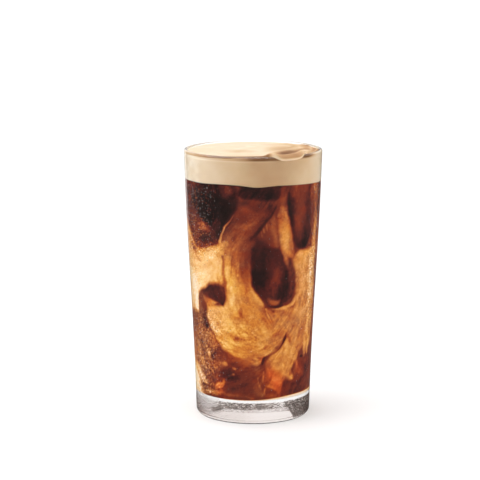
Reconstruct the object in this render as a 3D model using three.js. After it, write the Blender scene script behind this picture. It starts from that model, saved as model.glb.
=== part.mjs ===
// A tall glass of cold brew coffee under a cap of cold foam. Millimetres, +Z up.
// The origin is the middle of the foot, on the table.
// Angles run round the axis from the front (-Y) towards +X.
import * as THREE from 'three';
import { LoftGeometry } from 'three/addons/geometries/LoftGeometry.js';

// The glass
const HEIGHT = 156.8;
const RIM_RADIUS = 40.15;
const FOOT_RADIUS = 33.3;
const SIDE_BOW = 0.3; // the side lies this far outside a straight taper near the rim and inside it below
const RIM_WALL = 2.2;
const FLOOR_WALL = 3.0;
const FLOOR = 13.5;
const FLOOR_CORNER = 6;
const FOOT_CORNER = 4;
const PUNT_RADIUS = 26; // the shallow hollow under the foot, which leaves a flat ring to stand on
const PUNT_DEPTH = 1.5;

// The drink
const DRINK_LEVEL = 138.9;
const LEVEL_TILT = 1.5; // the foam's lower edge lies this much higher at the front left than the mean
const LEVEL_TILT_ANGLE = -25;
const LEVEL_DIP = 1.1; // and hangs down this much at the front
const LEVEL_DIP_ANGLE = 3;
const LEVEL_DIP_SPREAD = 12;
const LEVEL_RING = 0.6; // where the level's middle ring lies between the axis and the wall

// The foam's edge runs up the inside of the wall and on over the rounded rim, as far as it was poured
const SEAT_START = HEIGHT - 5;
const EDGE_TRAVEL = 3.1;
const EDGE_RADIUS = 0.9;
const EDGE_TURN = 0.7; // the rolled edge turns back by this share of what it turned round the rim
const FRONT_TRAVEL = { more: 0.9, angle: 5, spread: 40, power: 2 };
const LIP_TRAVEL = { more: 5.0, angle: 31.5, spread: 17, power: 4 };

// The foam's top: a low crown, with the folds of the last pour round a hollow behind the lip
const FOAM_LEVEL = HEIGHT - 0.6;
const CROWN = 1.0;
const SHOULDER_RADIUS = 31;
const SHOULDER_PULL = 0.36;
const SHOULDER_FADE = 0.3; // the folds grow over this share of the shoulder
const HOLLOW = { more: -1.7, angle: 50, spread: 30, radius: 26, width: 4.5 };
const RIDGE = { more: 1.9, angle: 98, spread: 20, radius: 31.5, width: 3.5 };
const LIP_FOLD = { more: 1.1, angle: 58, spread: 14, radius: 35, width: 2.5 };
const WAVE = 0.3; // two slow waves across the top, one and two to a turn
const WAVE_TURNS = [1, -0.5]; // where they start, in radians

const GAP = 0.3; // left between pieces that touch
const SEGMENTS = 96;

// How many steps each stretch of a section takes
const STEPS = { punt: 3, corner: 4, side: 5, bead: 6, band: 2, seat: 9, edge: 5, shoulder: 6, top: 7 };

const degrees = THREE.MathUtils.degToRad;
const { lerp, smoothstep } = THREE.MathUtils;

// Evenly spaced numbers from first to last, without the first one
function steps(first, last, count) {
  return Array.from({ length: count }, (_, i) => lerp(first, last, (i + 1) / count));
}

// A smooth hump of height 1 round an angle in degrees, with a flatter top for a higher even power
function hump(angle, centre, spread, power = 2) {
  const apart = THREE.MathUtils.euclideanModulo(angle - degrees(centre) + Math.PI, 2 * Math.PI) - Math.PI;
  return Math.exp(-((apart / degrees(spread)) ** power));
}

// The glass's section
function outerRadius(z) {
  const t = (z - FOOT_CORNER) / (HEIGHT - FOOT_CORNER);
  return lerp(FOOT_RADIUS, RIM_RADIUS, t) - SIDE_BOW * Math.sin(2 * Math.PI * t);
}

function innerRadius(z) {
  return outerRadius(z) - lerp(FLOOR_WALL, RIM_WALL, (z - FLOOR) / (HEIGHT - FLOOR));
}

const BEAD_RADIUS = RIM_WALL / 2;
const BEAD_HEIGHT = HEIGHT - BEAD_RADIUS;
const BEAD_CENTRE = outerRadius(BEAD_HEIGHT) - BEAD_RADIUS;
const CORNER_HEIGHT = FLOOR + FLOOR_CORNER;
const CORNER_CENTRE = innerRadius(CORNER_HEIGHT) - FLOOR_CORNER;

// Points on an arc of a section, from one angle to another, where 0 points away from the axis
function arc(r, z, radius, from, to, count) {
  return steps(degrees(from), degrees(to), count).map(
    (t) => new THREE.Vector2(r + radius * Math.cos(t), z + radius * Math.sin(t)),
  );
}

function glassSection() {
  const foot = FOOT_RADIUS - FOOT_CORNER;
  return [
    new THREE.Vector2(0, PUNT_DEPTH),
    ...steps(0, 1, STEPS.punt).map((t) => new THREE.Vector2(PUNT_RADIUS * t, PUNT_DEPTH * (1 - t * t))),
    new THREE.Vector2(foot, 0),
    ...arc(foot, FOOT_CORNER, FOOT_CORNER, -90, 0, STEPS.corner),
    ...steps(FOOT_CORNER, BEAD_HEIGHT, STEPS.side).map((z) => new THREE.Vector2(outerRadius(z), z)),
    ...arc(BEAD_CENTRE, BEAD_HEIGHT, BEAD_RADIUS, 0, 180, STEPS.bead),
    ...steps(BEAD_HEIGHT, CORNER_HEIGHT, STEPS.side).map((z) => new THREE.Vector2(innerRadius(z), z)),
    ...arc(CORNER_CENTRE, CORNER_HEIGHT, FLOOR_CORNER, 0, -90, STEPS.corner),
    new THREE.Vector2(0, FLOOR),
  ];
}

// A closed surface through rings from axis to axis, each given as its radius and height at an angle
function ringed(rings) {
  const angles = Array.from({ length: SEGMENTS }, (_, i) => (2 * Math.PI * i) / SEGMENTS);
  const sections = rings.map((ring) =>
    angles.map((angle) => {
      const { x: r, y: z } = ring(angle);
      return new THREE.Vector3(r * Math.sin(angle), -r * Math.cos(angle), z);
    }),
  );
  return new LoftGeometry(sections);
}

// The height of the foam's lower edge: it waves at the wall and is level at the axis
function levelHeight(angle, share) {
  const tilt = LEVEL_TILT * Math.cos(angle - degrees(LEVEL_TILT_ANGLE));
  const dip = LEVEL_DIP * hump(angle, LEVEL_DIP_ANGLE, LEVEL_DIP_SPREAD);
  return DRINK_LEVEL + (tilt - dip) * share ** 2;
}

// A point of the level surface, by its share of the way from the axis to the wall
function levelPoint(angle, share, above) {
  const z = levelHeight(angle, share) + above;
  return new THREE.Vector2((innerRadius(z) - GAP) * share, z);
}

function drinkRings() {
  const floor = FLOOR + GAP;
  const corner = arc(CORNER_CENTRE, CORNER_HEIGHT, FLOOR_CORNER - GAP, -90, 0, STEPS.corner);
  return [
    () => new THREE.Vector2(0, floor),
    () => new THREE.Vector2(CORNER_CENTRE, floor),
    ...corner.map((point) => () => point),
    ...steps(0, 1, STEPS.side).map((t) => (angle) => {
      const z = lerp(CORNER_HEIGHT, levelHeight(angle, 1), t);
      return new THREE.Vector2(innerRadius(z) - GAP, z);
    }),
    ...[LEVEL_RING, 0].map((share) => (angle) => levelPoint(angle, share, 0)),
  ];
}

// How far the foam's edge has run, measured along the wall from SEAT_START and on over the rim
function edgeTravel(angle) {
  return [FRONT_TRAVEL, LIP_TRAVEL].reduce(
    (sum, part) => sum + part.more * hump(angle, part.angle, part.spread, part.power),
    EDGE_TRAVEL,
  );
}

// A point of the seat and its turn round the rim; it keeps GAP from the glass, twice that at the outside
function seat(travel) {
  const z = SEAT_START + travel;
  if (z < BEAD_HEIGHT) return { point: new THREE.Vector2(innerRadius(z) - GAP, z), turned: 0 };
  const around = (z - BEAD_HEIGHT) / (BEAD_RADIUS + GAP);
  const turned = Math.min(around, Math.PI);
  const radius = BEAD_RADIUS + GAP * (1 + Math.sin(turned / 2));
  const drop = (around - turned) * radius;
  const centre = new THREE.Vector2(BEAD_CENTRE, BEAD_HEIGHT - drop);
  const offset = new THREE.Vector2(-Math.cos(turned), Math.sin(turned));
  return { point: offset.multiplyScalar(radius).add(centre), turned };
}

// The rolled edge turns from the seat's heading back towards the axis; share runs along it from 0 to 1
function rolledEdge(angle, share) {
  const { point, turned } = seat(edgeTravel(angle));
  const heading = Math.PI / 2 - turned;
  const turn = (Math.PI / 2 + EDGE_TURN * turned) * share;
  const offset = new THREE.Vector2(Math.sin(heading), -Math.cos(heading)).multiplyScalar(EDGE_RADIUS);
  const centre = point.clone().sub(offset);
  return { point: offset.rotateAround(new THREE.Vector2(), turn).add(centre), heading: heading + turn };
}

// The rise or fall of the top's folds at an angle and a radius
function folds(angle, r) {
  return [HOLLOW, RIDGE, LIP_FOLD].reduce((sum, { more, angle: centre, spread, radius, width }) => {
    const across = Math.exp(-(((r - radius) / width) ** 2));
    return sum + more * hump(angle, centre, spread) * across;
  }, 0);
}

function topHeight(angle, r) {
  const share = r / SHOULDER_RADIUS;
  const once = Math.sin(angle + WAVE_TURNS[0]) * share;
  const twice = Math.sin(2 * angle + WAVE_TURNS[1]) * share ** 2;
  return FOAM_LEVEL + CROWN * (1 - share ** 2) + WAVE * (once + twice);
}

// From the rolled edge over the shoulder to the top, as a cubic curve; share runs from 0 at the edge to 1
function shoulder(angle, share) {
  const { point: edge, heading } = rolledEdge(angle, 1);
  const top = new THREE.Vector2(SHOULDER_RADIUS, topHeight(angle, SHOULDER_RADIUS));
  const pull = edge.distanceTo(top) * SHOULDER_PULL;
  const leaving = new THREE.Vector2(Math.cos(heading), Math.sin(heading)).multiplyScalar(pull).add(edge);
  const arriving = new THREE.Vector2(pull, 0).add(top);
  const point = new THREE.CubicBezierCurve(edge, leaving, arriving, top).getPoint(share);
  point.y += folds(angle, point.x) * smoothstep(share, 0, SHOULDER_FADE);
  return point;
}

function foamRings() {
  return [
    ...[0, LEVEL_RING, 1].map((share) => (angle) => levelPoint(angle, share, GAP)),
    ...steps(0, 1, STEPS.band).map((t) => (angle) => {
      const z = lerp(levelHeight(angle, 1) + GAP, SEAT_START, t);
      return new THREE.Vector2(innerRadius(z) - GAP, z);
    }),
    ...steps(0, 1, STEPS.seat).map((t) => (angle) => seat(edgeTravel(angle) * t).point),
    ...steps(0, 1, STEPS.edge).map((t) => (angle) => rolledEdge(angle, t).point),
    ...steps(0, 1, STEPS.shoulder).map((t) => (angle) => shoulder(angle, t)),
    ...steps(SHOULDER_RADIUS, 0, STEPS.top).map((r) => (angle) => {
      return new THREE.Vector2(r, topHeight(angle, r) + folds(angle, r));
    }),
  ];
}

function piece(name, geometry, material) {
  const mesh = new THREE.Mesh(geometry, new THREE.MeshStandardMaterial({ metalness: 0, ...material }));
  mesh.name = name;
  return mesh;
}

// LatheGeometry turns round Y, so the glass is stood up on Z
const glass = new THREE.LatheGeometry(glassSection(), SEGMENTS).rotateX(Math.PI / 2);

const drink = new THREE.Group();
drink.add(
  piece('glass', glass, { color: 0xf4f6f5, roughness: 0.03, transparent: true, opacity: 0.3 }),
  piece('coffee', ringed(drinkRings()), { color: 0x5a2410, roughness: 0.15 }),
  piece('foam', ringed(foamRings()), { color: 0xead6b4, roughness: 0.6 }),
);

export default drink;
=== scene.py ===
"""A tall glass of cold brew coffee: smooth glass, swirled drink, cap of cold foam and condensation.

Sizes are millimetres until a mesh is made; lamps and the floor are in metres. Angles run round the axis in
degrees, from the front (-Y) towards +X.
"""
import math

import bpy
import numpy as np
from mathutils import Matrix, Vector


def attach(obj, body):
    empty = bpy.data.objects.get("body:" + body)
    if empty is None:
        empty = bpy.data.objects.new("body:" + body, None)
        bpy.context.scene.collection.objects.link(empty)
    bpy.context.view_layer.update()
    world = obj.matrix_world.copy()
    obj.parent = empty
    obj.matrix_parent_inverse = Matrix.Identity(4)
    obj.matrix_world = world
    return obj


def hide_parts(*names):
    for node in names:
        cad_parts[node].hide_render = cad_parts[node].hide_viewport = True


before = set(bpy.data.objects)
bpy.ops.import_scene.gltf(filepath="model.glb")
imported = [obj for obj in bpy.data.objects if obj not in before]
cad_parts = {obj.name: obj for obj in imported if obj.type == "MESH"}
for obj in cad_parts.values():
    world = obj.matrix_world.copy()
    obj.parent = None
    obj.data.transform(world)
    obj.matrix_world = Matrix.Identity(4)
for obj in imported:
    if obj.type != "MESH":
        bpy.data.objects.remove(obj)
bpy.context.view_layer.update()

MM = 0.001

# The glass, as in the solids
HEIGHT = 156.8
RIM_RADIUS = 40.15
FOOT_RADIUS = 33.3
SIDE_BOW = 0.3
RIM_WALL = 2.2
FLOOR_WALL = 3.0
FLOOR = 13.5
FLOOR_CORNER = 6.0
FOOT_CORNER = 4.0
PUNT_RADIUS = 26.0
PUNT_DEPTH = 1.5

# The drink and the foam: as in the solids, but for one more dip at the left and a finer edge and lip
DRINK_LEVEL = 138.9
LEVEL_TILT = 1.5
LEVEL_TILT_ANGLE = -25.0
LEVEL_DIPS = ((1.1, 3.0, 12.0), (0.3, -50.0, 14.0))  # depth, angle and spread
SEAT_START = HEIGHT - 5
EDGE_TRAVEL = 3.1
EDGE_RADIUS = 0.88
EDGE_TURN = 0.7
TRAVELS = ((0.9, 5.0, 40.0, 2), (4.7, 31.5, 17.0, 4), (0.7, 80.0, 24.0, 2))  # more, angle, spread and power
FOAM_LEVEL = HEIGHT - 0.6
CROWN = 1.0
SHOULDER_RADIUS = 31.0
SHOULDER_PULL = 0.36
WAVE = 0.3
GAP = 0.3  # what the solids leave between pieces that touch
INTO_WALL = 0.25  # here the drink and the foam reach this far into the glass, so that no air shows
INTO_FLOOR = 0.06  # the drink reaches this far into the floor and its corner


def smoothstep(low, high, x):
    """0 below low, 1 above high, and a smooth S between."""
    t = np.clip((x - low) / (high - low), 0, 1)
    return t * t * (3 - 2 * t)


def hump(angle, centre, spread, power=2):
    """A bell of height 1 round an angle, with a flatter top for a higher even power."""
    apart = (angle - centre + 180) % 360 - 180
    return np.exp(-((apart / spread) ** power))


def outer_radius(z):
    """A straight taper from foot to rim, with one wave of a sine taken off along it."""
    t = (z - FOOT_CORNER) / (HEIGHT - FOOT_CORNER)
    return FOOT_RADIUS + (RIM_RADIUS - FOOT_RADIUS) * t - SIDE_BOW * np.sin(2 * np.pi * t)


def inner_radius(z):
    """The outside less a wall that thins evenly from floor to rim."""
    t = (z - FLOOR) / (HEIGHT - FLOOR)
    return outer_radius(z) - (FLOOR_WALL + (RIM_WALL - FLOOR_WALL) * t)


BEAD_RADIUS = RIM_WALL / 2
BEAD_HEIGHT = HEIGHT - BEAD_RADIUS
BEAD_CENTRE = outer_radius(BEAD_HEIGHT) - BEAD_RADIUS
CORNER_HEIGHT = FLOOR + FLOOR_CORNER
CORNER_CENTRE = inner_radius(CORNER_HEIGHT) - FLOOR_CORNER


def arc(r, z, radius, start, end, count):
    """Points of a section on a circle, from one angle to another, where 0 points away from the axis."""
    t = np.radians(np.linspace(start, end, count))
    return np.stack([r + radius * np.cos(t), z + radius * np.sin(t)], -1)


def side(radius_at, low, high, count):
    """Points of a section up or down a side whose radius is a function of height."""
    z = np.linspace(low, high, count)
    return np.stack([radius_at(z), z], -1)


def round_axis(radius, z, angle):
    """Points round the axis: the one at angle a is (r sin a, -r cos a, z)."""
    a = np.radians(angle)
    return np.stack(np.broadcast_arrays(radius * np.sin(a), -radius * np.cos(a), z), -1)


def all_round(columns):
    """Angles all round, from the back by way of the front."""
    return np.linspace(-180, 180, columns, endpoint=False)


def make_mesh(name, points, corners, sizes, material):
    """A smooth piece from points in millimetres, its faces' corners in turn, and the count of each face."""
    mesh = bpy.data.meshes.new(name)
    mesh.vertices.add(len(points))
    mesh.vertices.foreach_set("co", (points * MM).ravel())
    mesh.loops.add(len(corners))
    mesh.loops.foreach_set("vertex_index", corners)
    mesh.polygons.add(len(sizes))
    mesh.polygons.foreach_set("loop_start", np.concatenate([[0], np.cumsum(sizes)[:-1]]))
    mesh.polygons.foreach_set("use_smooth", np.ones(len(sizes), bool))
    mesh.update(calc_edges=True)
    mesh.materials.append(material)
    piece = bpy.data.objects.new(name, mesh)
    bpy.context.collection.objects.link(piece)
    return piece


def ring_piece(name, rings, material, **attributes):
    """A closed piece through rings of points round the axis, from a point on it to another.

    Rows of quads join each ring to the next, and fans of triangles close both ends.
    """
    rows, columns = rings.shape[0] - 2, rings.shape[1]
    points = np.concatenate([rings[:1, 0], rings[1:-1].reshape(-1, 3), rings[-1:, 0]])
    row, column = np.indices((rows - 1, columns))
    here = 1 + row * columns + column
    beside = 1 + row * columns + (column + 1) % columns
    quads = np.stack([here, beside, beside + columns, here + columns], -1)
    first = np.arange(columns)
    second = (first + 1) % columns
    top = 1 + (rows - 1) * columns
    below = np.stack([np.zeros(columns, int), 1 + second, 1 + first], -1)
    above = np.stack([np.full(columns, len(points) - 1), top + first, top + second], -1)
    corners = np.concatenate([below.ravel(), quads.ravel(), above.ravel()])
    sizes = np.concatenate([np.full(columns, 3), np.full(quads.size // 4, 4), np.full(columns, 3)])
    piece = make_mesh(name, points, corners, sizes, material)
    for key, values in attributes.items():
        flat = np.concatenate([values[:1, 0], values[1:-1].ravel(), values[-1:, 0]])
        piece.data.attributes.new(key, "FLOAT", "POINT").data.foreach_set("value", flat.astype(np.float32))
    return piece


# Noise

# Large odd numbers that scatter the bits of a cell, and the bits that are kept
CELL_MIXERS = (374761393, 668265263, 2147483647)
SEED_MIXER = 144665
WORD_MIXER = 1274126177
WHOLE_WORD = 0xFFFFFFFF
LOW_BITS = 0xFFFFFF


def lattice(cell, seed):
    """A number from 0 to 1 for each whole-number cell, by mixing its bits."""
    n = sum(cell[..., i] * mixer for i, mixer in enumerate(CELL_MIXERS)) + seed * SEED_MIXER
    n &= WHOLE_WORD
    n = ((n ^ (n >> 13)) * WORD_MIXER) & WHOLE_WORD
    return ((n ^ (n >> 16)) & LOW_BITS) / float(LOW_BITS)


def cloud(points, size, seed):
    """Smooth noise from -1 to 1 in lumps of the given size: a blend of a lattice's nearest numbers."""
    q = points / size + 1000.0
    base = np.floor(q).astype(np.int64)
    f = q - base
    f = f * f * f * (f * (f * 6 - 15) + 10)
    total = np.zeros(q.shape[:-1])
    for corner in np.ndindex(2, 2, 2):
        weight = np.prod(np.where(corner, f, 1 - f), axis=-1)
        total += weight * lattice(base + corner, seed)
    return total * 2 - 1


# Materials

def linear(hex_colour):
    """An sRGB hex colour as linear light, with full alpha."""
    c = np.array([int(hex_colour[i:i + 2], 16) for i in (0, 2, 4)]) / 255
    light = np.where(c <= 0.04045, c / 12.92, ((c + 0.055) / 1.055) ** 2.4)
    return (*light.tolist(), 1.0)


def node(tree, kind, inputs=None, **settings):
    """Adds a shader node, sets its properties, and sets or links its inputs."""
    made = tree.nodes.new("ShaderNode" + kind)
    for key, value in settings.items():
        setattr(made, key, value)
    for key, value in (inputs or {}).items():
        if isinstance(value, bpy.types.NodeSocket):
            tree.links.new(value, made.inputs[key])
        else:
            made.inputs[key].default_value = value
    return made


def new_tree(name):
    """A material with no nodes yet, and its tree."""
    material = bpy.data.materials.new(name)
    material.use_nodes = True
    material.node_tree.nodes.clear()
    return material, material.node_tree


def ramp_of(tree, value, stops):
    """A colour ramp over a value, with its stops as place and hex colour."""
    made = node(tree, "ValToRGB", {"Fac": value})
    elements = made.color_ramp.elements
    while len(elements) < len(stops):
        elements.new(0.5)
    for element, (place, colour) in zip(elements, stops):
        element.position = place
        element.color = linear(colour)
    return made.outputs["Color"]


def principled(tree, inputs):
    """The surface: one Principled shader, joined to the material's output."""
    shader = node(tree, "BsdfPrincipled", inputs)
    node(tree, "OutputMaterial", {"Surface": shader.outputs["BSDF"]})


# Painted reflection and painted shade in the foot: what shows through it as it grows dimmer
DIMMING = ((0.0, "fbfcfc"), (0.3, "f0eeec"), (0.55, "80766f"), (1.0, "241c19"))
MOULD_WAVES = 14.0  # from one slow wave of the glass to the next
FOOT_GRAIN = 0.7  # the lumps of the stipple
FOOT_GRAIN_DEPTH = 0.5


def soda_lime_glass():
    """Clear glass pressed in a mould: slow waves bend what shows, and a fine stipple breaks up the foot."""
    material, tree = new_tree("soda_lime_glass")
    spot = node(tree, "TexCoord").outputs["Object"]
    waves = node(tree, "TexNoise", {"Vector": spot, "Scale": 1 / (MOULD_WAVES * MM), "Detail": 1.0})
    bump = node(tree, "Bump", {"Height": waves.outputs["Fac"], "Strength": 0.06, "Distance": 1 * MM})
    drawn = node(tree, "Mapping", {"Vector": spot, "Scale": (0.6, 0.6, 1.0)}).outputs["Vector"]
    stipple = node(tree, "TexNoise", {"Vector": drawn, "Scale": 1 / (FOOT_GRAIN * MM), "Detail": 3.0})
    rough = node(tree, "Attribute", attribute_name="stipple").outputs["Fac"]
    bump = node(tree, "Bump", {
        "Height": stipple.outputs["Fac"], "Strength": rough, "Distance": FOOT_GRAIN_DEPTH * MM,
        "Normal": bump.outputs["Normal"]})
    # The foot's colour darkens with painted reflections and painted shade, broken up by the stipple's noise
    patchy = node(tree, "MapRange", {
        "Value": stipple.outputs["Fac"],
        "From Min": 0.35, "From Max": 0.65, "To Min": 0.25, "To Max": 0.85})
    speckled = node(tree, "Attribute", attribute_name="speckled").outputs["Fac"]
    shaded = node(tree, "Attribute", attribute_name="shaded").outputs["Fac"]
    dimmed = node(tree, "Math", {
        0: patchy.outputs["Result"], 1: speckled, 2: shaded}, operation="MULTIPLY_ADD")
    principled(tree, {
        "Base Color": ramp_of(tree, dimmed.outputs["Value"], DIMMING),
        "Roughness": 0.01, "IOR": 1.52,
        "Transmission Weight": 1.0, "Normal": bump.outputs["Normal"],
    })
    return material


def condensed_water():
    """Clear water in beads: smooth, and bends light less than the glass does."""
    material, tree = new_tree("condensed_water")
    principled(tree, {
        "Base Color": linear("ffffff"), "Roughness": 0.02, "IOR": 1.33, "Transmission Weight": 1.0,
    })
    return material


# What shows as cream grows from none to all, from black coffee by way of maroon, chestnut and caramel to pale
# cream: stirred into coffee, seen through clear coffee, and in a painted red glow of light through it
STIRRED = (
    (0.00, "1a1412"), (0.10, "211c1a"), (0.20, "3e2422"), (0.30, "72382a"), (0.45, "a3603e"),
    (0.60, "d08a4c"), (0.75, "eeae6c"), (0.90, "fed8a0"), (1.00, "ffecd6"),
)
CLEAR = (
    (0.00, "1a100e"), (0.10, "301a18"), (0.20, "5e2520"), (0.30, "8b3622"), (0.45, "c05e2a"),
    (0.60, "dc8838"), (0.75, "f2b252"), (0.90, "fece80"), (1.00, "ffe4b0"),
)
RED = (
    (0.00, "1a100f"), (0.19, "5a211d"), (0.32, "a03a22"), (0.42, "cc5226"), (0.52, "e0652f"),
    (0.65, "ec8a48"), (0.80, "f6b878"), (1.00, "ffe4b0"),
)
# The mist's fine specks, and painted highlights of the larger drops among them
SPECK_SIZE = 0.8
DOT_SPACING = 1.6


def coffee_with_cream():
    """Cold brew with cream: the less coffee lies before the cream, the paler and less red it shows."""
    material, tree = new_tree("coffee_with_cream")
    cream, amber, glow, grain = (
        node(tree, "Attribute", attribute_name=name).outputs["Fac"]
        for name in ("cream", "amber", "glow", "grain")
    )
    spot = node(tree, "TexCoord").outputs["Object"]
    specks = node(tree, "TexNoise", {
        "Vector": spot, "Scale": 1 / (SPECK_SIZE * MM), "Detail": 2.0, "Roughness": 0.6})
    specks = node(tree, "MapRange", {
        "Value": specks.outputs["Fac"], "From Min": 0.35, "From Max": 0.72, "To Min": -0.4, "To Max": 0.7})
    # Painted highlights of drops on the glass: small bright dots laid into the cream
    dots = node(tree, "TexVoronoi", {"Vector": spot, "Scale": 1 / (DOT_SPACING * MM)})
    dots = node(tree, "MapRange", {
        "Value": dots.outputs["Distance"],
        "From Min": 0.12, "From Max": 0.28, "To Min": 0.36, "To Max": 0.0})
    specks = node(tree, "Math", {
        0: specks.outputs["Result"], 1: cream, 2: dots.outputs["Result"]}, operation="MULTIPLY_ADD")
    cream = node(tree, "Math", {
        0: specks.outputs["Value"], 1: grain, 2: cream}, operation="MULTIPLY_ADD").outputs["Value"]
    colour = node(tree, "MixRGB", {
        "Fac": amber, "Color1": ramp_of(tree, cream, STIRRED), "Color2": ramp_of(tree, cream, CLEAR)})
    # Painted red glow of light through the coffee, mixed over the cream's colour
    colour = node(tree, "MixRGB", {
        "Fac": glow, "Color1": colour.outputs["Color"], "Color2": ramp_of(tree, cream, RED)})
    principled(tree, {"Base Color": colour.outputs["Color"], "Roughness": 0.5, "Specular IOR Level": 0.0})
    return material


# The foam from clean to its deepest painted shade
SOAKING = ((0.0, "f6e8d2"), (0.1, "e4ceb1"), (0.45, "d3b48e"), (0.8, "b88f68"), (1.0, "7d5638"))
BUBBLE_SIZE = 0.9  # drawn coarser than real bubbles, so that they show
BUBBLE_DEPTH = 0.2


def cold_milk_foam():
    """Milk foam: matt, pale cream, painted tan to brown where shade falls, with a skin of very fine bubbles.
    """
    material, tree = new_tree("cold_milk_foam")
    spot = node(tree, "TexCoord").outputs["Object"]
    stain = node(tree, "Attribute", attribute_name="stain").outputs["Fac"]
    bubbles = node(tree, "TexVoronoi", {"Vector": spot, "Scale": 1 / (BUBBLE_SIZE * MM)})
    bump = node(tree, "Bump", {
        "Height": bubbles.outputs["Distance"], "Strength": 0.1, "Distance": BUBBLE_DEPTH * MM})
    principled(tree, {
        "Base Color": ramp_of(tree, stain, SOAKING),
        "Roughness": 0.6, "Specular IOR Level": 0.1,
        "Subsurface Weight": 0.3, "Subsurface Radius": (3 * MM, 2 * MM, 1.2 * MM), "Subsurface Scale": 1.0,
        "Normal": bump.outputs["Normal"],
    })
    return material


def white_paper():
    """The floor: a plain white sheet."""
    material, tree = new_tree("white_paper")
    principled(tree, {"Base Color": linear("f6f6f6"), "Roughness": 0.9, "Specular IOR Level": 0.0})
    return material


# The glass

GLASS_COLUMNS = 256


def glass_rings():
    """From under the foot up the outside, round the bead of the rim and down the inside to the floor."""
    foot = FOOT_RADIUS - FOOT_CORNER
    punt = np.linspace(0, 1, 14)
    section = np.concatenate([
        np.stack([PUNT_RADIUS * punt, PUNT_DEPTH * (1 - punt ** 2)], -1),
        arc(foot, FOOT_CORNER, FOOT_CORNER, -90, 0, 14),
        side(outer_radius, FOOT_CORNER, FLOOR, 24)[1:],
        side(outer_radius, FLOOR, BEAD_HEIGHT, 36)[1:-1],
        arc(BEAD_CENTRE, BEAD_HEIGHT, BEAD_RADIUS, 0, 180, 18),
        side(inner_radius, BEAD_HEIGHT, CORNER_HEIGHT, 40)[1:-1],
        arc(CORNER_CENTRE, CORNER_HEIGHT, FLOOR_CORNER, 0, -90, 14),
        [[0, FLOOR]],
    ])
    return round_axis(section[:, :1], section[:, 1:], all_round(GLASS_COLUMNS))


# The foot's rough places and its painted reflections and shade: heights, and the angles between which an
# edge goes from none to all
BAND_LOW = 8.7
BAND_DROP = 4.0  # how much lower the band starts at the left
BAND_DROP_ANGLES = (25.0, 50.0)  # towards the left
BAND_TOP = (12.8, 13.6)
WEDGE_LOW = 8.8
WEDGE_DROP = 7.8  # how much lower the wedge starts at the right
WEDGE_DROP_ANGLES = (35.0, 47.0)
WEDGE_START = (27.0, 36.0)
WEDGE_END = (76.0, 90.0)
SHADE_TOP = (8.4, 10.0)


def glass_foot(rings):
    """How rough the foot is, and where painted reflections and painted shade darken it: a band in front, a
    wedge to the right, a shade to the left.

    Each is a product of soft steps in height and soft steps or bells in angle.
    """
    angle = np.broadcast_to(all_round(rings.shape[1]), rings.shape[:2])
    x, y, z = np.moveaxis(rings, -1, 0)
    low = BAND_LOW - BAND_DROP * smoothstep(*BAND_DROP_ANGLES, -angle)
    top = 1 - smoothstep(*BAND_TOP, z)
    band = smoothstep(low, low + 1, z) * top
    wedge_low = WEDGE_LOW - WEDGE_DROP * smoothstep(*WEDGE_DROP_ANGLES, angle)
    wedge = smoothstep(wedge_low, wedge_low + 1.5, z) * top
    wedge *= smoothstep(*WEDGE_START, angle) * (1 - smoothstep(*WEDGE_END, angle))
    outside = (np.hypot(x, y) > FOOT_RADIUS - FOOT_CORNER) & (z < CORNER_HEIGHT)
    rough = 0.45 + 0.3 * hump(angle, -6, 36, 4) + 0.35 * smoothstep(40, 55, -angle)
    rough = np.maximum(smoothstep(low - 1.4, low - 0.8, z) * top * rough, 0.7 * wedge)
    # Painted reflections in the foot: a dark band in front and a darker wedge to the right
    speckled = np.maximum(band * (0.02 + 1.3 * hump(angle, -6, 38, 4)), 1.55 * wedge)
    # Painted shade low on the foot, left of the front
    shaded = 0.34 * hump(angle, -24, 25, 6) * (1 - smoothstep(*SHADE_TOP, z))
    return [np.where(outside, share, 0) for share in (rough, speckled, shaded)]


# The drink

COLUMNS = 416
WALL_ROWS = 220
CLOSER = 0.35  # how much closer together the columns are in front
PAINT_RADIUS = 37.0  # where a degree is measured when cream is laid
MM_PER_DEGREE = PAINT_RADIUS * np.pi / 180
WALL_REACH_HEIGHT = 30.0  # above here the drink reaches fully into the wall


def level_height(angle, share):
    """The foam's lower edge: tilted and dipped at the wall, level at the axis."""
    tilt = LEVEL_TILT * np.cos(np.radians(angle - LEVEL_TILT_ANGLE))
    dip = sum(depth * hump(angle, *place) for depth, *place in LEVEL_DIPS)
    return DRINK_LEVEL + (tilt - dip) * share ** 2


def drink_angles():
    """Angles all round with a sine taken off, so that the columns lie closer together in front."""
    angle = all_round(COLUMNS)
    return angle - np.degrees(CLOSER * np.sin(np.radians(angle)))


def drink_rings():
    """The floor, its rounded corner, the wall up to just under the foam's edge, and the hidden top."""
    angle = drink_angles()
    floor = FLOOR - INTO_FLOOR
    corner = arc(CORNER_CENTRE, CORNER_HEIGHT, FLOOR_CORNER + INTO_FLOOR, -90, 0, 14)
    flat = [[r, floor] for r in np.linspace(0, CORNER_CENTRE, 6)[:-1]]
    low = np.concatenate([flat, corner])
    low = np.broadcast_to(low[:, None], (len(low), COLUMNS, 2))
    top = level_height(angle, 1) + GAP
    z = CORNER_HEIGHT + (top - CORNER_HEIGHT) * np.linspace(0, 1, WALL_ROWS)[1:, None]
    reach = smoothstep(CORNER_HEIGHT, WALL_REACH_HEIGHT, z)
    wall = inner_radius(z) + INTO_FLOOR + (INTO_WALL - INTO_FLOOR) * reach
    radius = np.concatenate([low[..., 0], wall, np.zeros((1, COLUMNS))])
    height = np.concatenate([low[..., 1], z, np.full((1, COLUMNS), DRINK_LEVEL)])
    return round_axis(radius, height, angle)


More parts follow.
